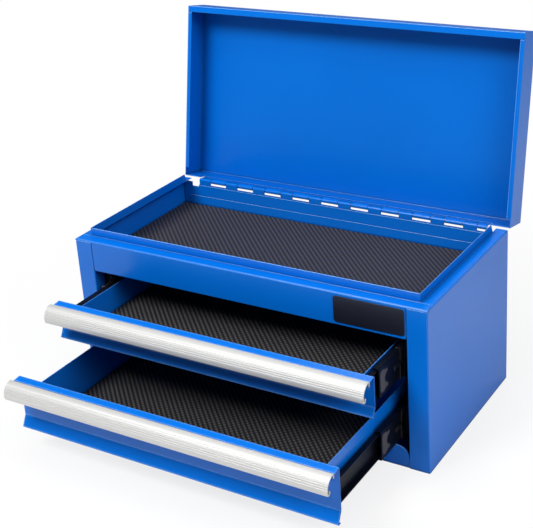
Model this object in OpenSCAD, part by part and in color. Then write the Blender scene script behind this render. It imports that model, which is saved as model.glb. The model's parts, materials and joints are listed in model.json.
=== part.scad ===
// Portable steel tool box: hinged lid over a shallow top tray, with two drawers
// on telescoping ball slides. Millimetres, +Z up, -Y is the front.
// The origin is the centre of the underside. The lid stands open and both
// drawers are part way out.

/* [Cabinet] */
// Width over the side panels
body_w = 510; // [400:1:700]
// Depth from the front posts to the rear panel
body_d = 246; // [230:1:400]
// Thickness of the painted sheet
sheet = 0.9; // [0.7:0.1:1.2]
// Mid-surface radius of a bend in the sheet
bend_r = 1.3; // [1:0.1:2]
// Width of each front post
post_w = 27; // [20:1:40]
// Depth of the return behind each front post
post_return = 18; // [10:1:25]
// Height of the rail above the drawers
top_rail_h = 42.9; // [38:0.1:60]
// Height of the rail below the drawers
bottom_rail_h = 28.5; // [20:0.5:35]
// Corner radius of the bottom rail beside the posts
bottom_rail_r = 16; // [4:1:20]
// Width of the ledge around the raised rim
ledge_w = 15.5; // [10:0.5:25]
// Height of the raised rim above the ledge
rim_h = 11.5; // [6:0.5:20]

/* [Top tray] */
// Drop from the ledge to the tops of the tray's side flanges
tray_side_drop = 11; // [2:0.5:15]
// Height of the tray's rear flange
tray_rear_h = 16.5; // [8:0.5:25]
// Thickness of the non-slip liners
liner_t = 1.6; // [1:0.1:3]

/* [Nameplate] */
// Width of the plate
plate_w = 92; // [40:1:150]
// Height of the plate
plate_h = 34; // [15:1:34]
// Thickness of the plate
plate_t = 0.8; // [0.5:0.1:1.5]
// Gap from the plate to the right post
plate_gap = 2; // [1:0.5:10]

/* [Lid] */
// How far the lid stands out past the front posts
lid_front_over = 4; // [0:0.5:8]
// Height of the lid
lid_h = 39.5; // [25:0.5:60]
// How far the lid stands out past each side panel
lid_over = 0.5; // [0:0.1:2]
// How far the lid is open
lid_open = 100.5; // [0:0.5:100.5]
// Width of the lid's return flanges
lid_return = 6; // [4:0.5:10]

/* [Hinge] */
// Outside radius of the knuckles
knuckle_r = 3.1; // [2.5:0.1:4]
// Radius of the hinge pin
pin_r = 2.05; // [1.5:0.05:2.5]
// Distance from each end of the hinge to the cabinet's side
hinge_inset = 29; // [20:1:60]
// Length of a knuckle on the body leaf
body_knuckle = 20.5; // [15:0.5:30]
// Length of a knuckle on the lid leaf
lid_knuckle = 26; // [15:0.5:40]
// Width of each leaf from the pin's axis
leaf_w = 24; // [15:1:30]
// Drop of the pin's axis below the ledge
hinge_drop = 2.5; // [1:0.5:5]

/* [Drawers] */
// How far the upper drawer is out
upper_open = 87; // [0:1:180]
// How far the lower drawer is out
lower_open = 173; // [0:1:180]
// How far the middle member of the upper drawer's left slide is out
upper_left_middle_open = 87; // [0:1:90]
// How far the middle member of the upper drawer's right slide is out
upper_right_middle_open = 62; // [0:1:90]
// How far the middle members of the lower drawer's slides are out
lower_middle_open = 62; // [0:1:90]
// Gap between a drawer front and each post
front_gap = 2.7; // [1.5:0.1:4]
// Height of the upper drawer front
upper_front_h = 51; // [40:1:60]
// Height of the lower drawer front
lower_front_h = 70; // [60:1:90]
// Gap between the bottom rail and the lower drawer front
rail_gap = 3; // [1.5:0.5:6]
// Gap between the two drawer fronts
drawer_gap = 13; // [6:0.5:16]
// Gap between the upper drawer front and the top rail
top_gap = 7.6; // [4:0.1:12]
// Depth of the top flange of a drawer front
flange_d = 11.5; // [8:0.5:15]
// Height of the flared foot of the upper drawer front
upper_flare_h = 11.5; // [8:0.5:20]
// Height of the flared foot of the lower drawer front
lower_flare_h = 15; // [8:0.5:20]
// Slope of the flared foot, out over down
flare_slope = 0.5; // [0.3:0.05:0.7]
// Drop from the top of a drawer front to the drawer's walls
wall_drop = 11.2; // [6:0.1:12]
// Rise from the foot of a drawer front to the drawer's floor
floor_rise = 2.8; // [2:0.1:6]

/* [Pulls] */
// Radius of the pull's rounded face
pull_r = 15; // [14:0.1:16]
// How far a pull stands out past the flange it hangs on
pull_stand = 18.2; // [17:0.1:20]
// Drop from the top of a drawer front to the pull's foremost line
pull_drop = 13.2; // [12:0.1:14]
// Wall of the pull
pull_t = 1.5; // [1:0.1:2]
// Length by which a pull stands past each end of its front
pull_over = 1; // [0:0.1:2]
// Number of grooves along a pull's face
pull_grooves = 5; // [0:1:12]

/* [Slides] */
// Height of a slide
slide_h = 45; // [40:1:46]
// Thickness of a slide
slide_t = 12.7; // [12.7:0.1:13]
// Sheet of the cabinet and drawer members
rail_t = 1.2; // [1:0.1:1.5]
// Sheet of the middle member
mid_t = 1.0; // [0.8:0.1:1.2]
// Diameter of the balls
ball_d = 2.0; // [1.8:0.1:2.5]
// Height of the slides' middle above the underside of a drawer
slide_mid = 17.7; // [15:0.1:20]

/* [Hidden] */
$fn = 48;
EPS = 0.01;
BEND_STEPS = 5;
BLUE = [0.02, 0.30, 0.78];
BLACK = [0.05, 0.05, 0.06];
ALUMINIUM = [0.90, 0.90, 0.89];
STEEL = [0.70, 0.71, 0.72];
LINER = [0.16, 0.16, 0.17];
BRONZE = [0.36, 0.33, 0.29];

// Clearances
seam = 0.6;               // slit between two sheets that butt
knuckle_gap = 0.8;        // axial gap between knuckles
pin_clear = 0.05;         // radial gap round the hinge pin
ball_clear = 0.05;        // gap between a ball and each race
lid_gap = 0.5;            // gap under the closed lid
screw_clear = 0.1;        // radial gap round a screw
stop_gap = 0.5;           // gap to the bumpers with a drawer closed

// Cabinet
lower_front_z = bottom_rail_h + rail_gap;
upper_front_z = lower_front_z + lower_front_h + drawer_gap;
open_z = upper_front_z + upper_front_h + top_gap;   // top of the drawer opening
body_h = open_z + top_rail_h;          // ledge that the lid comes down on
half_w = body_w / 2;
half_d = body_d / 2;
front_y = -half_d;
skin_x = half_w - sheet;               // inner face of a side panel
post_x = half_w - post_w;              // edge of the drawer opening
rim_x = half_w - ledge_w;              // outer face of the side rims
rim_y = front_y + ledge_w;             // outer face of the front rim
rim_back_y = half_d - 18;              // rear end of the side rims
rim_slant = 5;
ledge_skirt = bend_r + 1;              // height of the ledge's front bend
foot_flange = 12;                      // flange along the foot of a side panel
rear_top = body_h - 9;                 // top edge of the rear panel
rear_tab_top = body_h - 5;             // corner tabs of the rear panel
rear_notch_top = body_h - 11.5;
rear_notch_w = 11;
rear_flange = 13;
lap = 12;                              // width of a welded lap

// Tray
tray_z = open_z + sheet;               // underside of the tray floor
tray_floor = tray_z + sheet;
tray_side_h = body_h - tray_side_drop - tray_z;
tray_corner_r = 6;
tray_back_y = half_d - sheet;
tray_side_back = tray_back_y - 8;

// Nameplate
plate_r = 4;
plate_x = post_x - plate_gap - plate_w;
plate_z = body_h - plate_h - (top_rail_h - plate_h) / 2;

// Hinge
hinge_l = body_w - 2 * hinge_inset;
leaf_t = knuckle_r - pin_r - pin_clear;
hinge_y = half_d + knuckle_r;
hinge_z = body_h - hinge_drop;
knuckle_pitch = body_knuckle + lid_knuckle;
knuckle_count = ceil(hinge_l / knuckle_pitch);
body_slot = 5.2;                       // depth of the body leaf's slots from the axis
lid_slot = 4.2;                        // depth of the lid leaf's slots from the axis
leaf_recess = 8;                       // recess in the lid behind its leaf

// Lid, closed
lid_x = half_w + lid_over;
lid_z = body_h + lid_gap;
lid_top = lid_z + lid_h;
lid_front_y = front_y - lid_front_over;
lid_bend = bend_r + sheet / 2;
lid_front_return = lid_return + 2.5;

// Drawers
front_x = post_x - front_gap;          // half width of a drawer front
front_back_y = front_y + flange_d;     // back of a closed drawer front
lip_h = 7;
hook_leg_y = 2.9;                      // the pull's hook, from the flange's front edge
hook_t = pull_t * 0.8;
hook_bend = hook_t * 1.5;
hook_foot = -5;                        // from the top of the front
catch_top = -1.5;                      // top of the catch that the hook hangs on
face_top_a = 80;                       // span of the pull's rounded face, from level
face_foot_a = 10;
FACE_STEPS = 24;
pull_foot = 5.4;                       // foot of the pull below its foremost line
pull_foot_d = 3.2;
pull_foot_h = 3.6;
pull_foot_lean = 1.4;
groove_span = 58;
groove_r = 0.8;
groove_d = 0.5;
foot_return = 5;
flange_drop = 1.2;

// Slides: a is the distance out from the drawer wall, z is from the centre
box_x = post_x - slide_t - 11.5;       // outer face of the drawer walls
upright_x = box_x + slide_t;
upright_t = 1.2;
upright_w = 30;
upright_z = 170;
slide_y0 = front_y + post_return + 1;  // front end of a closed slide
slide_y1 = half_d - 22;
drawer_travel = 113;                   // of a drawer member in its middle member
drawer_d = slide_y1 + 2.5 - front_back_y;
race = ball_d + 2 * ball_clear;
rail_in = slide_h / 2 - rail_t;        // inside of the cabinet member
mid_out = rail_in - race;
mid_in = mid_out - mid_t;
inner_out = mid_in - race;             // outside of the drawer member
rail_lip_a = 4.2;
mid_lip_a = 2.9;
mid_web_a = slide_t - 2.9;
inner_flange = 7.6;
cage_t = 0.6;
outer_cage_a = slide_t - 1.8;
inner_cage_a = 8.45;
outer_cage_y = [6, 139];               // span of a cage from the slide's front end
inner_cage_y = [57, 149];
cage_tongue = [-2, 4];                 // height of the tongue at a cage's front end
cage_tongue_l = 15;
stop_y = [3, 21];                      // span of a fork stop from its member's front end
stop_h = 28;
stop_notch_r = 7;
stop_waist = [11, 16];                 // where the outline of a prong steps in
stop_step = 2.5;
ball_rows = 5;
ball_pitch = 18;
ball_start = 18;
bumper_l = 4;
bumper_h = 12;
screw_r = 1.6;
head_r = 3;
head_t = 1.2;
screw_end = 1;                         // end of a drawer screw inside the drawer
cabinet_screw_y = [slide_y0 + 14, slide_y1 - 21];
drawer_screw_y = [slide_y0 + 10, slide_y1 - 25];

// Drawers: [foot of the front, height of the front, height of the flare, how far out
// the drawer is, how far out the middle members of its left and right slides are]
UPPER = [upper_front_z, upper_front_h, upper_flare_h, upper_open,
         [upper_left_middle_open, upper_right_middle_open]];
LOWER = [lower_front_z, lower_front_h, lower_flare_h, lower_open,
         [lower_middle_open, lower_middle_open]];
function foot_z(d) = d[0];
function top_z(d) = d[0] + d[1];
function flare_h(d) = d[2];
function floor_z(d) = d[0] + floor_rise;
function wall_z(d) = top_z(d) - wall_drop;
function out(d) = d[3];
function middle_out(d, side) =
  max(min(d[4][side < 0 ? 0 : 1], out(d)), out(d) - drawer_travel);
function slide_z(d) = floor_z(d) + slide_mid;

// A cage rolls half as far as the member inside it moves in the member outside it
function outer_cage_out(d, side) = middle_out(d, side) / 2;
function inner_cage_out(d, side) = (middle_out(d, side) + out(d)) / 2;

LEFT = -1;
RIGHT = 1;

// ---------- helpers ----------

// Box between two corners
module slab(p, q) {
  translate(p) cube(q - p);
}

// Draws an (x, z) outline along Y
module along_y(y0, y1) {
  translate([0, y1, 0]) rotate([90, 0, 0]) linear_extrude(y1 - y0) children();
}

// Draws a (y, z) outline along X
module along_x(x0, x1) {
  translate([x0, 0, 0]) rotate([90, 0, 90]) linear_extrude(x1 - x0) children();
}

function unit(v) = v / norm(v);
function perp(v) = [-v[1], v[0]];
function turned(v, a) = [v[0] * cos(a) - v[1] * sin(a), v[0] * sin(a) + v[1] * cos(a)];

// Frames [point, normal] round the bend at b on the way from a to c
function bend(a, b, c, r) =
  let (
    d = unit(b - a),
    e = unit(c - b),
    turn = atan2(d[0] * e[1] - d[1] * e[0], d * e),
    start = b - d * (r * tan(abs(turn) / 2)),
    centre = start + perp(d) * r * sign(turn)
  )
  [for (k = [0:BEND_STEPS]) let (q = turn * k / BEND_STEPS)
    [centre + turned(start - centre, q), perp(turned(d, q))]];

// Frames along the points p, with each corner bent to radius r
function path_frames(p, r) =
  let (n = len(p))
  concat(
    [[p[0], perp(unit(p[1] - p[0]))]],
    [for (i = [1:1:n - 2]) each bend(p[i - 1], p[i], p[i + 1], r)],
    [[p[n - 1], perp(unit(p[n - 1] - p[n - 2]))]]
  );

// Outline of a strip that runs through the frames, each with its own thickness
module strip(frames, t) {
  count = len(frames);
  polygon(concat(
    [for (i = [0:count - 1]) frames[i][0] + frames[i][1] * t[i] / 2],
    [for (i = [count - 1:-1:0]) frames[i][0] - frames[i][1] * t[i] / 2]
  ));
}

// Outline of a sheet of thickness t whose middle follows the points p
module bent(p, t = sheet, r = bend_r) {
  frames = path_frames(p, r);
  strip(frames, [for (f = frames) t]);
}

// Area inside the middle of a bent sheet
module inside_bent(p, r = bend_r) {
  polygon([for (f = path_frames(p, r)) f[0]]);
}

// Mirrors its children to the named side
module on_side(side) {
  mirror([side < 0 ? 1 : 0, 0, 0]) children();
}

// Rectangle with two rounded upper corners
module arch(x0, x1, y0, y1, r) {
  translate([x0, y0]) square([x1 - x0, y1 - y0 - r]);
  translate([x0 + r, y0]) square([x1 - x0 - 2 * r, y1 - y0]);
  for (x = [x0 + r, x1 - r]) translate([x, y1 - r]) circle(r);
}

// ---------- cabinet ----------

// Side panel: post and return at the front, ledge and rim at the top, flange at the foot.
// A slit parts the side rim from the back of the front rim.
module side_panel() {
  h = sheet / 2;
  shoulder = body_h - 6;
  plan = [[post_x + h, front_y + post_return], [post_x + h, front_y + h],
          [half_w - h, front_y + h], [half_w - h, half_d]];
  ledge = [[half_w - h, shoulder - EPS], [half_w - h, body_h - h],
           [rim_x - h, body_h - h], [rim_x - h, body_h + rim_h]];
  difference() {
    linear_extrude(body_h - sheet) bent(plan);
    // the return stops above the bottom rail and below the tray
    slab([post_x - 1, front_y + sheet, -1], [post_x + sheet + EPS, 0, bottom_rail_h + 1]);
    slab([post_x - 1, front_y + sheet, open_z - seam], [post_x + sheet + EPS, 0, body_h]);
    slab([post_x, rim_y, shoulder], [half_w + 1, half_d + 1, body_h]);
    // the post's face stops under the bend of the ledge
    slab([post_x - 1, front_y - 1, body_h - ledge_skirt], [half_w + 1, front_y + ledge_skirt, body_h]);
  }
  difference() {
    along_y(rim_y, half_d) bent(ledge);
    along_x(rim_x - 2 * sheet, rim_x + bend_r) polygon([
      [rim_back_y, body_h + rim_h + 1], [rim_back_y + rim_slant, body_h],
      [half_d + 1, body_h], [half_d + 1, body_h + rim_h + 1]]);
    slab([rim_x - 2 * sheet, rim_y - 1, body_h - 2 * sheet],
         [rim_x + EPS, rim_y + sheet + seam, body_h + rim_h + 1]);
  }
  // flange along the foot, on top of the bottom panel
  slab([skin_x - foot_flange, front_y + 3 * sheet, sheet], [skin_x + EPS, half_d - 3 * sheet, 2 * sheet]);
}

module left_side_panel() color(BLUE) on_side(LEFT) side_panel();
module right_side_panel() color(BLUE) on_side(RIGHT) side_panel();

module rear_panel() color(BLUE) {
  tab_x = hinge_l / 2 + 1;
  notch_x = tab_x + rear_notch_w;
  y0 = half_d - sheet;
  slab([-skin_x, y0, sheet], [skin_x, half_d, rear_notch_top]);
  slab([-tab_x, y0, rear_notch_top - EPS], [tab_x, half_d, rear_top]);
  for (side = [LEFT, RIGHT]) on_side(side) {
    slab([notch_x, y0, rear_notch_top - EPS], [skin_x, half_d, rear_tab_top]);
    slab([skin_x - sheet, half_d - rear_flange, 3 * sheet], [skin_x, half_d, tray_z - 2]);
  }
}

// Floor with the front rail and a rear flange turned up
module bottom_panel() color(BLUE) {
  rail_y = front_y + sheet;
  flat_x = post_x - bottom_rail_r;
  flat_z = bottom_rail_h - bottom_rail_r;
  back_y = half_d - sheet;
  slab([-skin_x, rail_y, 0], [skin_x, back_y, sheet]);
  intersection() {   // cut off at the foot, because the circles of the corners reach below it
    along_y(rail_y, rail_y + sheet) {
      translate([-flat_x, 0]) square([2 * flat_x, bottom_rail_h]);
      translate([-skin_x + lap / 4, 0]) square([2 * (skin_x - lap / 4), flat_z]);
      for (x = [-flat_x, flat_x]) translate([x, flat_z]) circle(bottom_rail_r);
    }
    slab([-half_w, front_y, 0], [half_w, half_d, body_h]);
  }
  slab([-skin_x + foot_flange + 1, back_y - sheet, 0], [skin_x - foot_flange - 1, back_y, lap]);
}

// Rail above the drawers, with the front ledge and rim
module top_front_rail() color(BLUE) {
  h = sheet / 2;
  face_x = post_x - seam;
  face = [[rim_y, open_z + h], [front_y + h, open_z + h], [front_y + h, body_h - h],
          [rim_y, body_h - h]];
  rim = [[front_y + 2, body_h - h], [rim_y + h, body_h - h], [rim_y + h, body_h + rim_h]];
  skirt = [[front_y + h, body_h - ledge_skirt], [front_y + h, body_h - h], [rim_y, body_h - h]];
  along_x(-face_x, face_x) bent(face);
  along_x(-rim_x, rim_x) bent(rim);
  intersection() {
    along_x(-half_w, half_w) bent(skirt);
    along_y(front_y - 1, rim_y + 1) arch(-half_w, half_w, body_h - 2 * ledge_skirt, body_h, bend_r + h);
  }
  for (side = [LEFT, RIGHT]) on_side(side)
    slab([face_x - lap, front_y + sheet, open_z + 3], [post_x + lap, front_y + 2 * sheet, body_h - sheet]);
}

module tray_pan() color(BLUE) {
  side_x = skin_x;
  front = rim_y;
  slab([-side_x, front, tray_z], [side_x, tray_back_y, tray_floor]);
  slab([-side_x, front, tray_z], [side_x, front + sheet, body_h - sheet]);
  slab([-side_x + lap, tray_back_y - sheet, tray_z], [side_x - lap, tray_back_y, tray_z + tray_rear_h]);
  for (side = [LEFT, RIGHT]) on_side(side)
    along_x(side_x - sheet, side_x) {
      r = tray_corner_r;
      top = tray_z + tray_side_h;
      translate([front, tray_z]) square([tray_side_back - front, tray_side_h - r]);
      translate([front, tray_z]) square([tray_side_back - r - front, tray_side_h]);
      translate([tray_side_back - r, top - r]) circle(r);
    }
}

module tray_liner() color(LINER)
  slab([-skin_x + sheet, rim_y + sheet, tray_floor],
       [skin_x - sheet, tray_back_y - 2 * sheet, tray_floor + liner_t]);

module nameplate() color(BLACK)
  translate([plate_x, front_y, plate_z]) rotate([90, 0, 0]) linear_extrude(plate_t) {
    translate([plate_r, 0]) square([plate_w - 2 * plate_r, plate_h]);
    translate([0, plate_r]) square([plate_w, plate_h - 2 * plate_r]);
    for (x = [plate_r, plate_w - plate_r], y = [plate_r, plate_h - plate_r])
      translate([x, y]) circle(plate_r);
  }

// Two Z-section uprights on one side, which carry the slides
module slide_uprights(side) color(BLACK) on_side(side) {
  h = upright_t / 2;
  ends = [slide_y0, slide_y1];
  for (i = [0, 1]) {
    y = ends[i];
    dir = i == 0 ? 1 : -1;
    plan = [[upright_x + h, y + dir * upright_w], [upright_x + h, y + dir * h],
            [skin_x - h, y + dir * h], [skin_x - h, y + dir * lap]];
    difference() {
      translate([0, 0, 2 * sheet]) linear_extrude(upright_z - 2 * sheet) bent(plan, upright_t);
      for (d = [UPPER, LOWER])
        translate([upright_x - 1, cabinet_screw_y[i], slide_z(d)]) rotate([0, 90, 0])
          cylinder(r = screw_r + screw_clear, h = upright_t + 2);
    }
  }
}

module left_slide_uprights() slide_uprights(LEFT);
module right_slide_uprights() slide_uprights(RIGHT);

// ---------- hinge ----------

// Knuckles [start, end] along X
function body_knuckles() = [for (k = [0:knuckle_count - 1])
  let (x = -hinge_l / 2 + k * knuckle_pitch) [x, x + body_knuckle]];
function lid_knuckles() = [for (k = [0:knuckle_count - 1])
  let (x = -hinge_l / 2 + k * knuckle_pitch + body_knuckle) [x, min(x + lid_knuckle, hinge_l / 2)]];

// One leaf of the closed hinge: rolled knuckles and a flat with slots for the other leaf
module hinge_leaf(knuckles, up, slot) {
  gap = knuckle_gap / 2;
  for (k = knuckles) difference() {
    union() {
      translate([k[0] + gap, hinge_y, hinge_z]) rotate([0, 90, 0])
        cylinder(r = knuckle_r, h = k[1] - k[0] - 2 * gap);
      slab([k[0] + gap, half_d, hinge_z + (up ? 0 : -slot - 1)],
           [k[1] - gap, half_d + leaf_t, hinge_z + (up ? slot + 1 : 0)]);
    }
    translate([k[0] - 1, hinge_y, hinge_z]) rotate([0, 90, 0])
      cylinder(r = pin_r + pin_clear, h = k[1] - k[0] + 2);
  }
  slab([-hinge_l / 2, half_d, hinge_z + (up ? slot : -leaf_w)],
       [hinge_l / 2, half_d + leaf_t, hinge_z + (up ? leaf_w : -slot)]);
}

module hinge_body_leaf() color(BLUE) hinge_leaf(body_knuckles(), false, body_slot);

module hinge_pin() color(STEEL)
  translate([-hinge_l / 2, hinge_y, hinge_z]) rotate([0, 90, 0]) cylinder(r = pin_r, h = hinge_l);

// ---------- lid ----------

// Turns the closed lid to the angle at which it stands
module lid_opened() {
  translate([0, hinge_y, hinge_z]) rotate([-lid_open, 0, 0])
    translate([0, -hinge_y, -hinge_z]) children();
}

module hinge_lid_leaf() color(BLUE) lid_opened() hinge_leaf(lid_knuckles(), true, lid_slot);

module lid_shell() color(BLUE) lid_opened() {
  recess_x = hinge_l / 2 + 2;
  difference() {
    intersection() {
      along_y(lid_front_y, half_d) arch(-lid_x, lid_x, lid_z, lid_top, lid_bend);
      along_x(-lid_x, lid_x) arch(lid_front_y, half_d, lid_z, lid_top, lid_bend);
    }
    intersection() {
      along_y(lid_front_y + sheet, half_d - sheet)
        arch(-lid_x + sheet, lid_x - sheet, lid_z - 1, lid_top - sheet, lid_bend - sheet);
      along_x(-lid_x + sheet, lid_x - sheet)
        arch(lid_front_y + sheet, half_d - sheet, lid_z - 1, lid_top - sheet, lid_bend - sheet);
    }
    slab([-recess_x, half_d - sheet - 1, lid_z - 1], [recess_x, half_d + 1, lid_z + leaf_recess]);
  }
  slab([-lid_x + sheet, lid_front_y + sheet - EPS, lid_z],
       [lid_x - sheet, lid_front_y + lid_front_return, lid_z + sheet]);
  for (side = [LEFT, RIGHT]) on_side(side)
    slab([lid_x - lid_return, lid_front_y + lid_front_return + seam, lid_z],
         [lid_x - sheet + EPS, half_d - lap, lid_z + sheet]);
}

// ---------- drawers ----------

// Draws a closed part out by the given distance
module drawn(distance) {
  translate([0, -distance, 0]) children();
}

module drawer_pan(d) color(BLUE) drawn(out(d)) {
  z0 = floor_z(d);
  z1 = wall_z(d);
  y0 = front_back_y;
  y1 = y0 + drawer_d;
  h = sheet / 2;
  section = [[-box_x + h, z1], [-box_x + h, z0 + h], [box_x - h, z0 + h], [box_x - h, z1]];
  difference() {
    union() {
      along_y(y0, y1) bent(section);
      for (y = [y0, y1 - sheet]) along_y(y, y + sheet) inside_bent(section);
    }
    for (side = [LEFT, RIGHT], y = drawer_screw_y) on_side(side)
      translate([box_x - 2, y, slide_z(d)]) rotate([0, 90, 0])
        cylinder(r = screw_r + screw_clear, h = 4);
  }
}

// Front: flange and hooked lip at the top, plain face, flared foot with a return
module drawer_front(d) color(BLUE) drawn(out(d)) {
  h = sheet / 2;
  y0 = front_back_y;
  foot = foot_z(d);
  top = top_z(d);
  flare_out = flare_h(d) * flare_slope;
  lip_y = y0 - flange_d;
  lip_foot = top - flange_drop - lip_h;
  catch_y = lip_y - hook_leg_y - hook_t / 2 - h;
  profile = [
    [catch_y, top + catch_top],
    [catch_y, lip_foot + h],
    [lip_y + h, lip_foot + h],
    [lip_y + h, top - flange_drop - h],
    [y0 - h, top - h],
    [y0 - h, foot + flare_h(d)],
    [y0 - h - flare_out, foot + h],
    [y0 - h - flare_out + foot_return, foot + h]
  ];
  along_x(-front_x, front_x) bent(profile, sheet, 0.6);
}

// Aluminium pull: a hook that hangs on the front's catch, a rounded grooved face, a turned-up foot
module drawer_pull(d) color(ALUMINIUM) drawn(out(d)) {
  x = front_x + pull_over;
  lip_y = front_back_y - flange_d;
  top = top_z(d);
  mid_r = pull_r - pull_t / 2;
  c = [lip_y - pull_stand + pull_r, top - pull_drop];   // centre of the rounded face
  face = [for (k = [0:FACE_STEPS]) let (a = face_top_a - (face_top_a + face_foot_a) * k / FACE_STEPS)
    [c + mid_r * [-cos(a), sin(a)], [cos(a), -sin(a)]]];
  face_top = face[0][0];
  face_foot = face[FACE_STEPS][0];
  leg_y = lip_y - hook_leg_y;
  hook = [[leg_y, top + hook_foot],
          [leg_y, face_top[1] + (leg_y - face_top[0]) / tan(face_top_a)], face_top];
  foot_level = c[1] - pull_foot;
  foot_y = face_foot[0] + (face_foot[1] - foot_level) * tan(face_foot_a);
  foot = [face_foot, [foot_y, foot_level], [foot_y + pull_foot_d, foot_level],
          [foot_y + pull_foot_d + pull_foot_lean, foot_level + pull_foot_h]];
  hook_frames = path_frames(hook, hook_bend);
  foot_frames = path_frames(foot, pull_t * 0.6);
  hook_count = len(hook_frames) - 1;
  foot_count = len(foot_frames) - 1;
  along_x(-x, x) difference() {
    strip(concat([for (k = [0:hook_count - 1]) hook_frames[k]], face,
                 [for (k = [1:foot_count]) foot_frames[k]]),
          concat([for (k = [0:hook_count - 1]) hook_t], [for (f = face) pull_t],
                 [for (k = [1:foot_count]) pull_t]));
    for (k = [1:1:pull_grooves])
      let (a = groove_span * k / (pull_grooves + 1), r = pull_r + groove_d)
        translate(c + r * [-cos(a), sin(a)]) circle(groove_r, $fn = 16);
  }
}

module drawer_liner(d) color(LINER) drawn(out(d))
  slab([-box_x + 2 * sheet, front_back_y + 2 * sheet, floor_z(d) + sheet],
       [box_x - 2 * sheet, front_back_y + drawer_d - 2 * sheet, floor_z(d) + sheet + liner_t]);

module upper_drawer_pan() drawer_pan(UPPER);
module upper_drawer_front() drawer_front(UPPER);
module upper_drawer_pull() drawer_pull(UPPER);
module upper_drawer_liner() drawer_liner(UPPER);
module lower_drawer_pan() drawer_pan(LOWER);
module lower_drawer_front() drawer_front(LOWER);
module lower_drawer_pull() drawer_pull(LOWER);
module lower_drawer_liner() drawer_liner(LOWER);

// ---------- slides ----------

// Places a part of a slide, given as [a, y, z], and draws it out by the given distance
module slide_part(d, side, distance) {
  drawn(distance) on_side(side) translate([box_x, 0, slide_z(d)]) children();
}

// Holes for screws through a web, at the given places along Y
module screw_holes(places) {
  for (y = places) translate([-1, y, 0]) rotate([0, 90, 0])
    cylinder(r = screw_r + screw_clear, h = slide_t + 2);
}

module cabinet_member(d, side) color(BLACK) slide_part(d, side, 0) {
  h = rail_t / 2;
  z = slide_h / 2 - h;
  lip = z - 2;
  difference() {
    along_y(slide_y0, slide_y1 + bumper_l + 1)
      bent([[rail_lip_a, lip], [rail_lip_a, z], [slide_t - h, z],
            [slide_t - h, -z], [rail_lip_a, -z], [rail_lip_a, -lip]], rail_t, 1.1);
    screw_holes(cabinet_screw_y);
  }
}

module middle_member(d, side) color(BLACK) slide_part(d, side, middle_out(d, side)) {
  z = mid_out - mid_t / 2;
  lip = z - 1.8;
  difference() {
    along_y(slide_y0, slide_y1)
      bent([[mid_lip_a, lip], [mid_lip_a, z], [mid_web_a, z],
            [mid_web_a, -z], [mid_lip_a, -z], [mid_lip_a, -lip]], mid_t, 0.9);
    stop_plate(mid_web_a - mid_t, mid_web_a + mid_t);
  }
}

// Fork-shaped plate between two distances from the drawer's wall, with its prongs to the rear
module stop_plate(a0, a1) {
  y = [slide_y0 + stop_y[0], slide_y0 + stop_waist[0], slide_y0 + stop_waist[1], slide_y0 + stop_y[1]];
  z = stop_h / 2;
  step = stop_step;
  along_x(a0, a1) difference() {
    polygon([[y[0], step - z], [y[0] + step, -z], [y[1], -z], [y[2], step - z], [y[3], step - z],
             [y[3], z - step], [y[2], z - step], [y[1], z], [y[0] + step, z], [y[0], z - step]]);
    translate([y[3], 0]) circle(stop_notch_r);
  }
}

// Stop let into the web of the middle member at its front end
module fork_stop(d, side) color(BRONZE) slide_part(d, side, middle_out(d, side))
  stop_plate(mid_web_a - mid_t / 2, mid_web_a + mid_t / 2);

module drawer_member(d, side) color(BLACK) slide_part(d, side, out(d)) {
  h = rail_t / 2;
  z = inner_out - h;
  difference() {
    along_y(slide_y0, slide_y1)
      bent([[inner_flange, z], [h, z], [h, -z], [inner_flange, -z]], rail_t, 1.1);
    screw_holes(drawer_screw_y);
  }
}

// Cage of folded strip with two rows of balls and a tongue at its front end:
// web at a, rows at plus and minus z
module ball_cage(a, a0, z, span) {
  front = slide_y0 + span[0];
  ball_a = (a + a0) / 2;
  places = [for (k = [0:ball_rows - 1]) slide_y0 + span[1] - ball_start / 2 - k * ball_pitch];
  difference() {
    along_y(front, slide_y0 + span[1])
      bent([[a0, z], [a, z], [a, -z], [a0, -z]], cage_t, 0.5);
    for (y = places, s = [-1, 1]) translate([ball_a, y, s * z - 1])
      cylinder(r = ball_d / 2 + ball_clear, h = 2);
    slab([0, front - 1, -slide_h / 2], [slide_t, front + cage_tongue_l, cage_tongue[0]]);
    slab([0, front - 1, cage_tongue[1]], [slide_t, front + cage_tongue_l, slide_h / 2]);
  }
  for (y = places, s = [-1, 1]) translate([ball_a, y, s * z]) sphere(d = ball_d);
}

module outer_cage(d, side) color(STEEL) slide_part(d, side, outer_cage_out(d, side))
  ball_cage(outer_cage_a, 5.8, (rail_in + mid_out) / 2, outer_cage_y);

module inner_cage(d, side) color(STEEL) slide_part(d, side, inner_cage_out(d, side))
  ball_cage(inner_cage_a, 4.4, (mid_in + inner_out) / 2, inner_cage_y);

module upper_left_cabinet_member() cabinet_member(UPPER, LEFT);
module upper_right_cabinet_member() cabinet_member(UPPER, RIGHT);
module lower_left_cabinet_member() cabinet_member(LOWER, LEFT);
module lower_right_cabinet_member() cabinet_member(LOWER, RIGHT);
module upper_left_middle_member() middle_member(UPPER, LEFT);
module upper_right_middle_member() middle_member(UPPER, RIGHT);
module lower_left_middle_member() middle_member(LOWER, LEFT);
module lower_right_middle_member() middle_member(LOWER, RIGHT);
module upper_left_fork_stop() fork_stop(UPPER, LEFT);
module upper_right_fork_stop() fork_stop(UPPER, RIGHT);
module lower_left_fork_stop() fork_stop(LOWER, LEFT);
module lower_right_fork_stop() fork_stop(LOWER, RIGHT);
module upper_left_drawer_member() drawer_member(UPPER, LEFT);
module upper_right_drawer_member() drawer_member(UPPER, RIGHT);
module lower_left_drawer_member() drawer_member(LOWER, LEFT);
module lower_right_drawer_member() drawer_member(LOWER, RIGHT);
module upper_left_outer_cage() outer_cage(UPPER, LEFT);
module upper_right_outer_cage() outer_cage(UPPER, RIGHT);
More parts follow.
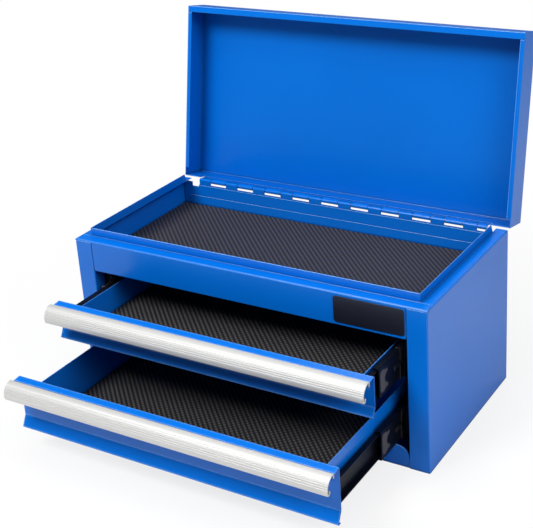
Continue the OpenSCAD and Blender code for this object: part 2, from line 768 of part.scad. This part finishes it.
module lower_left_outer_cage() outer_cage(LOWER, LEFT);
module lower_right_outer_cage() outer_cage(LOWER, RIGHT);
module upper_left_inner_cage() inner_cage(UPPER, LEFT);
module upper_right_inner_cage() inner_cage(UPPER, RIGHT);
module lower_left_inner_cage() inner_cage(LOWER, LEFT);
module lower_right_inner_cage() inner_cage(LOWER, RIGHT);

// Plastic stops inside the rear ends of the cabinet members
module slide_bumpers() color(BLACK)
  for (d = [UPPER, LOWER], side = [LEFT, RIGHT]) slide_part(d, side, 0)
    slab([1.5, slide_y1 + stop_gap, -bumper_h / 2],
         [slide_t - rail_t, slide_y1 + stop_gap + bumper_l, bumper_h / 2]);

// One pan-head screw along +a, with its head's top at a = 0
module screw(shank) {
  rotate([0, 90, 0]) {
    cylinder(r = head_r, h = head_t);
    cylinder(r = screw_r, h = head_t + shank);
  }
}

module cabinet_slide_screws() color(STEEL)
  for (d = [UPPER, LOWER], side = [LEFT, RIGHT], y = cabinet_screw_y) slide_part(d, side, 0)
    translate([slide_t + upright_t + head_t, y, 0]) mirror([1, 0, 0]) screw(upright_t + rail_t);

module drawer_screws(d) color(STEEL)
  for (side = [LEFT, RIGHT], y = drawer_screw_y) slide_part(d, side, out(d))
    translate([rail_t + head_t, y, 0]) mirror([1, 0, 0]) screw(rail_t + sheet + screw_end);

module upper_drawer_screws() drawer_screws(UPPER);
module lower_drawer_screws() drawer_screws(LOWER);

// ---------- nodes ----------

left_side_panel();
right_side_panel();
rear_panel();
bottom_panel();
top_front_rail();
tray_pan();
tray_liner();
nameplate();
left_slide_uprights();
right_slide_uprights();
hinge_body_leaf();
hinge_pin();
lid_shell();
hinge_lid_leaf();
upper_drawer_pan();
upper_drawer_front();
upper_drawer_pull();
upper_drawer_liner();
lower_drawer_pan();
lower_drawer_front();
lower_drawer_pull();
lower_drawer_liner();
upper_left_cabinet_member();
upper_right_cabinet_member();
lower_left_cabinet_member();
lower_right_cabinet_member();
upper_left_middle_member();
upper_right_middle_member();
lower_left_middle_member();
lower_right_middle_member();
upper_left_fork_stop();
upper_right_fork_stop();
lower_left_fork_stop();
lower_right_fork_stop();
upper_left_drawer_member();
upper_right_drawer_member();
lower_left_drawer_member();
lower_right_drawer_member();
upper_left_outer_cage();
upper_right_outer_cage();
lower_left_outer_cage();
lower_right_outer_cage();
upper_left_inner_cage();
upper_right_inner_cage();
lower_left_inner_cage();
lower_right_inner_cage();
slide_bumpers();
cabinet_slide_screws();
upper_drawer_screws();
lower_drawer_screws();
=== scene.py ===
import json
import math
import bpy
import bmesh
from mathutils import Matrix, Vector

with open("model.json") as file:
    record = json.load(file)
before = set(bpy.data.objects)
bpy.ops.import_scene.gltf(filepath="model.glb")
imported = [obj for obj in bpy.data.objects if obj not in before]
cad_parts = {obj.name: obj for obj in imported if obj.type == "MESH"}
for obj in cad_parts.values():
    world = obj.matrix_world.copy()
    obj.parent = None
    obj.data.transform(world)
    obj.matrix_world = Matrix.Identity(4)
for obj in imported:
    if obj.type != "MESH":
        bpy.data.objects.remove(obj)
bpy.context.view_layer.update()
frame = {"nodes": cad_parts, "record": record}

NODES = frame["nodes"]

# Lengths are metres, apart from the camera's sensor and lens, which are mm.

KEY_AT = Vector((-0.7, -1.6, 2.2))
TO_KEY = KEY_AT.normalized()
LIT_POINT = (0, 0, 0.15)            # what the lights look at
ROOM_LIGHT = 0.08                   # what the studio's dim walls give

FLOOR_RADIUS = 9.0
FLOOR_DROP = 0.0002                 # keeps the floor clear of the faces that stand on it
FLOOR_GREY = (0.80, 0.80, 0.80)
SHADOW_REACH = 0.25                 # where the floor starts to fade to white
WHITE_FROM = 0.75                   # where it is white

CAMERA_AT = Vector((0.7609, -1.2061, 0.8354))
CAMERA_RIGHT = Vector((0.86401, 0.50067, -0.05305))
CAMERA_UP = Vector((-0.14241, 0.34409, 0.92807))
CAMERA_FORWARD = Vector((-0.48291, 0.79431, -0.3686))
SENSOR = 36.0
LENS = 80.657
CROP_X, CROP_Y = -0.07, -0.13       # the photograph is a crop of a wider picture
FAR_CLIP = 50

WAVE_PITCH = 0.3142                 # of a wave texture whose scale is 1
RIB_PITCH = 0.0056                  # of the liners' ribs
RIB_ANGLE = math.radians(45)

WHITE = (1, 1, 1)


# ---------- node helpers ----------

def feed(socket, value):
    """Links a node's output to the socket, or sets the socket to a value."""
    if isinstance(value, bpy.types.NodeSocket):
        socket.id_data.links.new(value, socket)
    elif socket.type == "RGBA" and len(value) == 3:
        socket.default_value = (*value, 1)
    else:
        socket.default_value = value


class Shader:
    """A node material with one Principled surface."""

    def __init__(self, name, **values):
        self.material = bpy.data.materials.new(name)
        self.material.use_nodes = True
        self.tree = self.material.node_tree
        self.surface = self.tree.nodes["Principled BSDF"]
        for key, value in values.items():
            feed(self.surface.inputs[key.replace("_", " ")], value)
        self.material.diffuse_color = self.surface.inputs["Base Color"].default_value

    def node(self, kind, **values):
        """A node of that kind. A name that isn't one of its inputs is a setting of the node."""
        n = self.tree.nodes.new(kind)
        for key, value in values.items():
            socket = key.replace("_", " ")
            if socket in n.inputs:
                feed(n.inputs[socket], value)
            else:
                setattr(n, key, value)
        return n

    def set(self, key, value):
        feed(self.surface.inputs[key], value)

    def coords(self, scale=(1, 1, 1), turn=0.0):
        """Object coordinates, scaled and turned about the vertical."""
        place = self.node("ShaderNodeTexCoord").outputs["Object"]
        mapping = self.node("ShaderNodeMapping", Vector=place, Scale=scale, Rotation=(0, 0, turn))
        return mapping.outputs["Vector"]

    def noise(self, vector, scale, detail=2.0, rough=0.5):
        n = self.node("ShaderNodeTexNoise", Vector=vector, Scale=scale, Detail=detail, Roughness=rough)
        return n.outputs["Fac"]

    def ribs(self, turn):
        n = self.node("ShaderNodeTexWave", Vector=self.coords(turn=turn), Scale=WAVE_PITCH / RIB_PITCH)
        return n.outputs["Fac"]

    def ramp(self, fac, low, high):
        """Goes from one colour to the other. Each end is a place between 0 and 1, and its colour."""
        n = self.node("ShaderNodeValToRGB", Fac=fac)
        for element, (position, colour) in zip(n.color_ramp.elements, (low, high)):
            element.position = position
            element.color = (*colour, 1)
        return n.outputs["Color"]

    def calc(self, operation, a, b, clamp=False):
        n = self.node("ShaderNodeMath", operation=operation, use_clamp=clamp)
        feed(n.inputs[0], a)
        feed(n.inputs[1], b)
        return n.outputs[0]

    def steep(self, value, threshold, slope):
        """0 up to the threshold, then a steep rise to 1."""
        return self.calc("MULTIPLY", self.calc("SUBTRACT", value, threshold), slope, clamp=True)

    def vary(self, value, low, span):
        """low where the value is 0, low + span where it is 1."""
        return self.calc("ADD", self.calc("MULTIPLY", value, span), low)

    def dot(self, a, b):
        n = self.node("ShaderNodeVectorMath", operation="DOT_PRODUCT")
        feed(n.inputs[0], a)
        feed(n.inputs[1], b)
        return n.outputs["Value"]

    def mix(self, fac, a, b, blend="MIX"):
        n = self.node("ShaderNodeMix", data_type="RGBA", blend_type=blend)
        feed(n.inputs["Factor"], fac)
        feed(n.inputs["A"], a)
        feed(n.inputs["B"], b)
        return n.outputs["Result"]

    def bump(self, height, distance, strength, normal=None):
        n = self.node("ShaderNodeBump", Height=height, Distance=distance, Strength=strength)
        if normal is not None:
            feed(n.inputs["Normal"], normal)
        return n.outputs["Normal"]

    def edge(self, radius):
        """The normal of the surface, with its edges rounded to that radius."""
        return self.node("ShaderNodeBevel", samples=4, Radius=radius).outputs["Normal"]

    def shade(self, distance):
        """1 in the open, less in a corner or under a piece that stands close."""
        return self.node("ShaderNodeAmbientOcclusion", samples=6, Distance=distance).outputs["AO"]

    def glint(self, radius):
        """1 on an outer bend that faces the key light, 0 away from it and in inner corners."""
        rounded = self.edge(radius)
        flat = self.dot(rounded, self.node("ShaderNodeNewGeometry").outputs["Normal"])
        bend = self.calc("MULTIPLY", self.calc("SUBTRACT", 1.0, flat), 9.0, clamp=True)
        outer = self.steep(self.shade(radius * 2), 0.72, 5.0)
        lit = self.steep(self.dot(rounded, TO_KEY), 0.55, 5.0)
        return self.calc("MULTIPLY", self.calc("MULTIPLY", bend, outer), lit)


# ---------- materials ----------

def paint(name, glint, bend, hollow=None):
    """Blue powder coat, with painted shade in its corners. glint is the radius of the painted highlight on
    edges that face the key light, bend their rounding.

    hollow is how far the broad, soft shade of a shallow tray reaches from its walls.
    """
    deep_blue = (0.0002, 0.142, 0.61)
    full_blue = (0.0003, 0.156, 0.66)
    speck_blue = (0.0, 0.18, 0.78)
    painted_highlight_blue = (0.36, 0.64, 1.0)
    corner_shade_grey = (0.25, 0.25, 0.25)
    hollow_shade_grey = (0.80, 0.80, 0.82)
    corner_shade_reach = 0.005
    peel_height = 0.00002
    s = Shader(name, Roughness=0.24, Specular_IOR_Level=0.31)
    place = s.coords()
    sheet = s.ramp(s.noise(place, 5.0), (0.3, deep_blue), (0.7, full_blue))
    speck = s.calc("MULTIPLY", s.noise(place, 900.0, 1.0), 0.03)
    sheet = s.mix(speck, sheet, speck_blue)
    # Painted highlight: a pale blue line mixed into the colour on outer bends that face the key light.
    if glint:
        sheet = s.mix(s.glint(glint), sheet, painted_highlight_blue)
    # Painted shade: the colour is darkened towards grey in corners, creases and under pieces that stand
    # close.
    corner = s.ramp(s.shade(corner_shade_reach), (0.35, corner_shade_grey), (0.85, WHITE))
    sheet = s.mix(1.0, sheet, corner, "MULTIPLY")
    # Painted shade: a broad, soft darkening of the colour near the walls of a shallow tray.
    if hollow:
        painted_hollow_shade = s.ramp(s.shade(hollow), (0.5, hollow_shade_grey), (0.97, WHITE))
        sheet = s.mix(1.0, sheet, painted_hollow_shade, "MULTIPLY")
    peel = s.noise(place, 420.0, 2.0, 0.6)
    s.set("Base Color", sheet)
    s.set("Roughness", s.vary(peel, 0.21, 0.05))
    s.set("Normal", s.bump(peel, peel_height, 0.15, s.edge(bend)))
    return s.material


def aluminium():
    """Satin aluminium, brushed along the pulls."""
    dull = (0.56, 0.56, 0.55)
    bright = (0.63, 0.63, 0.62)
    along_x = (2.0, 240.0, 240.0)
    grain_height = 0.00001
    s = Shader("satin_aluminium", Metallic=0.35, Roughness=0.5, Specular_IOR_Level=0.5)
    grain = s.noise(s.coords(along_x), 1.0, 3.0, 0.7)
    s.set("Base Color", s.ramp(grain, (0.25, dull), (0.75, bright)))
    s.set("Roughness", s.vary(grain, 0.42, 0.10))
    s.set("Normal", s.bump(grain, grain_height, 0.2))
    return s.material


def liner(name, gap, thread, dots):
    """Ribbed anti-slip mat. dots is how strongly the ribs break up into dots."""
    black = (0, 0, 0)
    low = (1.0 - dots,) * 3
    weave_height = 0.0006
    s = Shader(name, Roughness=0.62, Specular_IOR_Level=0.30)
    lines = s.ramp(s.ribs(-RIB_ANGLE), (0.25, black), (0.8, WHITE))
    knots = s.ramp(s.ribs(RIB_ANGLE), (0.1, low), (0.8, WHITE))
    weave = s.calc("MULTIPLY", lines, knots)
    grit = s.noise(s.coords(), 700.0)
    s.set("Base Color", s.mix(weave, gap, thread))
    s.set("Roughness", s.vary(grit, 0.5, 0.2))
    s.set("Normal", s.bump(weave, weave_height, 0.6))
    return s.material


def black_steel():
    """Black coat of the slides, with a painted blue reflection of the paint around them put into its
    specular tint.
    """
    dark = (0.002, 0.003, 0.006)
    light = (0.004, 0.005, 0.011)
    painted_blue_reflection = (0.55, 0.68, 1.0)
    coat_height = 0.00003
    s = Shader("black_coated_steel", Roughness=0.42, Specular_IOR_Level=0.20, Specular_Tint=painted_blue_reflection)
    n = s.noise(s.coords(), 240.0, 3.0, 0.6)
    s.set("Base Color", s.ramp(n, (0.3, dark), (0.7, light)))
    s.set("Roughness", s.vary(n, 0.36, 0.12))
    s.set("Normal", s.bump(n, coat_height, 0.25, s.edge(0.0004)))
    return s.material


def bare_steel(name, dull, bright):
    along_y = (1, 0.2, 1)
    grain_height = 0.00004
    s = Shader(name, Metallic=1.0, Roughness=0.38)
    n = s.noise(s.coords(along_y), 380.0, 3.0, 0.6)
    s.set("Base Color", s.ramp(n, (0.3, dull), (0.7, bright)))
    s.set("Roughness", s.vary(n, 0.25, 0.2))
    s.set("Normal", s.bump(n, grain_height, 0.4, s.edge(0.0002)))
    return s.material


def bronze_stop():
    """Bronze-grey nylon of the fork stops."""
    dark = (0.050, 0.044, 0.042)
    light = (0.085, 0.075, 0.070)
    grain_height = 0.00006
    s = Shader("bronze_nylon", Roughness=0.5, Specular_IOR_Level=0.5)
    n = s.noise(s.coords(), 500.0, 3.0, 0.6)
    s.set("Base Color", s.ramp(n, (0.3, dark), (0.7, light)))
    s.set("Roughness", s.vary(n, 0.38, 0.2))
    s.set("Normal", s.bump(n, grain_height, 0.5, s.edge(0.0004)))
    return s.material


def plate():
    """Nameplate: black, thinly lacquered and bare."""
    dark = (0.006, 0.007, 0.011)
    light = (0.011, 0.012, 0.018)
    along_x = (1, 1, 24)
    grain_height = 0.00003
    s = Shader("plate_black", Roughness=0.32, Specular_IOR_Level=0.5, Coat_Weight=0.3, Coat_Roughness=0.12)
    n = s.noise(s.coords(along_x), 60.0, 3.0, 0.6)
    s.set("Base Color", s.ramp(n, (0.3, dark), (0.7, light)))
    s.set("Roughness", s.vary(n, 0.26, 0.12))
    s.set("Normal", s.bump(n, grain_height, 0.3, s.edge(0.0005)))
    return s.material


def moulded():
    """Moulded plastic of the bumpers."""
    dark = (0.016, 0.016, 0.016)
    light = (0.028, 0.028, 0.028)
    grain_height = 0.00004
    s = Shader("moulded_black", Roughness=0.55)
    n = s.noise(s.coords(), 900.0)
    s.set("Base Color", s.ramp(n, (0.3, dark), (0.7, light)))
    s.set("Normal", s.bump(n, grain_height, 0.4))
    return s.material


# One material for each slot of the record
MATERIALS = {
    "cabinet_paint": paint("blue_powder_coat", glint=0.0013, bend=0.0008),
    "pull_aluminium": aluminium(),
    "liner": liner("drawer_liner", gap=(0.011, 0.011, 0.013), thread=(0.090, 0.086, 0.084), dots=0.80),
    "black_steel": black_steel(),
    "bare_steel": bare_steel("zinc_steel", dull=(0.40, 0.40, 0.38), bright=(0.62, 0.61, 0.58)),
    "bronze_stop": bronze_stop(),
    "nameplate": plate(),
    "bumper": moulded(),
}

# Nodes that look otherwise than the rest of their slot
hinge_paint = paint("blue_hinge", glint=None, bend=0.0004)
# Painted shade: the cages get a darker copy of the zinc steel, for the shade they sit in inside the
# cabinet.
cage_steel = bare_steel("shaded_cage_steel", dull=(0.14, 0.13, 0.12), bright=(0.24, 0.22, 0.20))
SPECIAL = {
    "tray_liner": liner("tray_liner", gap=(0.016, 0.016, 0.024), thread=(0.062, 0.057, 0.058), dots=0.40),
    "hinge_body_leaf": hinge_paint,
    "hinge_lid_leaf": hinge_paint,
    # The lid's paint adds the broad painted shade near its walls.
    "lid_shell": paint("blue_lid", glint=0.0013, bend=0.0008, hollow=0.08),
}
# The drawer fronts get a wider painted highlight on their bends.
for row in ("upper", "lower"):
    SPECIAL[row + "_drawer_front"] = paint("blue_" + row + "_front", glint=0.0026, bend=0.0016)
for name in NODES:
    if name.endswith("_cage"):
        SPECIAL[name] = cage_steel

slots = {part["node"]: part["material_slot"] for part in frame["record"]["subparts"]}
for name, piece in NODES.items():
    piece.data.materials.clear()
    piece.data.materials.append(SPECIAL.get(name, MATERIALS[slots[name]]))


# ---------- camera ----------

def make_camera():
    """Camera at the photograph's angle."""
    data = bpy.data.cameras.new("camera")
    data.sensor_width = SENSOR
    data.lens = LENS
    data.shift_x = CROP_X
    data.shift_y = CROP_Y
    data.dof.use_dof = False
    data.clip_end = FAR_CLIP
    camera = bpy.data.objects.new("camera", data)
    camera.matrix_world = Matrix((
        (CAMERA_RIGHT.x, CAMERA_UP.x, -CAMERA_FORWARD.x, CAMERA_AT.x),
        (CAMERA_RIGHT.y, CAMERA_UP.y, -CAMERA_FORWARD.y, CAMERA_AT.y),
        (CAMERA_RIGHT.z, CAMERA_UP.z, -CAMERA_FORWARD.z, CAMERA_AT.z),
        (0, 0, 0, 1)))
    bpy.context.scene.collection.objects.link(camera)
    return camera


bpy.context.scene.camera = make_camera()


# ---------- floor and light ----------

def pale_floor():
    """Burns out to white in the picture, save for a faint shadow close to the object."""
    s = Shader("pale_floor", Base_Color=FLOOR_GREY, Roughness=0.9, Specular_IOR_Level=0.1)
    away = s.node("ShaderNodeVectorMath", operation="LENGTH")
    feed(away.inputs[0], s.coords())
    far = s.ramp(away.outputs["Value"], (SHADOW_REACH, FLOOR_GREY), (WHITE_FROM, WHITE))
    burn = s.calc("MULTIPLY", far, s.node("ShaderNodeLightPath").outputs["Is Camera Ray"])
    glow = s.node("ShaderNodeEmission", Color=WHITE, Strength=1.0)
    blend = s.node("ShaderNodeMixShader")
    feed(blend.inputs[0], burn)
    feed(blend.inputs[1], s.surface.outputs[0])
    feed(blend.inputs[2], glow.outputs[0])
    feed(s.tree.nodes["Material Output"].inputs["Surface"], blend.outputs[0])
    return s.material


def make_floor():
    bm = bmesh.new()
    bmesh.ops.create_circle(bm, cap_ends=True, segments=96, radius=FLOOR_RADIUS)
    mesh = bpy.data.meshes.new("floor")
    bm.to_mesh(mesh)
    bm.free()
    mesh.materials.append(pale_floor())
    disc = bpy.data.objects.new("floor", mesh)
    disc.location.z = -FLOOR_DROP
    bpy.context.scene.collection.objects.link(disc)
    return disc


def dim_walls():
    """White to the camera, and dim as a light."""
    world = bpy.data.worlds.new("studio")
    world.use_nodes = True
    nodes = world.node_tree.nodes
    level = nodes.new("ShaderNodeMapRange")
    feed(level.inputs["Value"], nodes.new("ShaderNodeLightPath").outputs["Is Camera Ray"])
    feed(level.inputs["To Min"], ROOM_LIGHT)
    feed(level.inputs["To Max"], 1.0)
    feed(nodes["Background"].inputs["Color"], WHITE)
    feed(nodes["Background"].inputs["Strength"], level.outputs["Result"])
    return world


def softbox(name, where, size, power):
    data = bpy.data.lights.new(name, "AREA")
    data.shape = "RECTANGLE"
    data.size, data.size_y = size
    data.energy = power
    light = bpy.data.objects.new(name, data)
    light.location = where
    light.rotation_mode = "QUATERNION"
    light.rotation_quaternion = (Vector(where) - Vector(LIT_POINT)).to_track_quat("Z", "Y")
    bpy.context.scene.collection.objects.link(light)


floor = make_floor()
bpy.context.scene.world = dim_walls()
softbox("key", KEY_AT, size=(1.0, 0.9), power=60)
softbox("fill", (1.6, -0.6, 1.7), size=(1.2, 1.2), power=25)
softbox("top", (0.1, 0.1, 2.2), size=(1.4, 1.2), power=14)
softbox("back", (-0.6, 2.0, 1.6), size=(1.2, 1.2), power=16)

bpy.context.scene.view_settings.view_transform = "Standard"
bpy.context.scene.view_settings.look = "None"
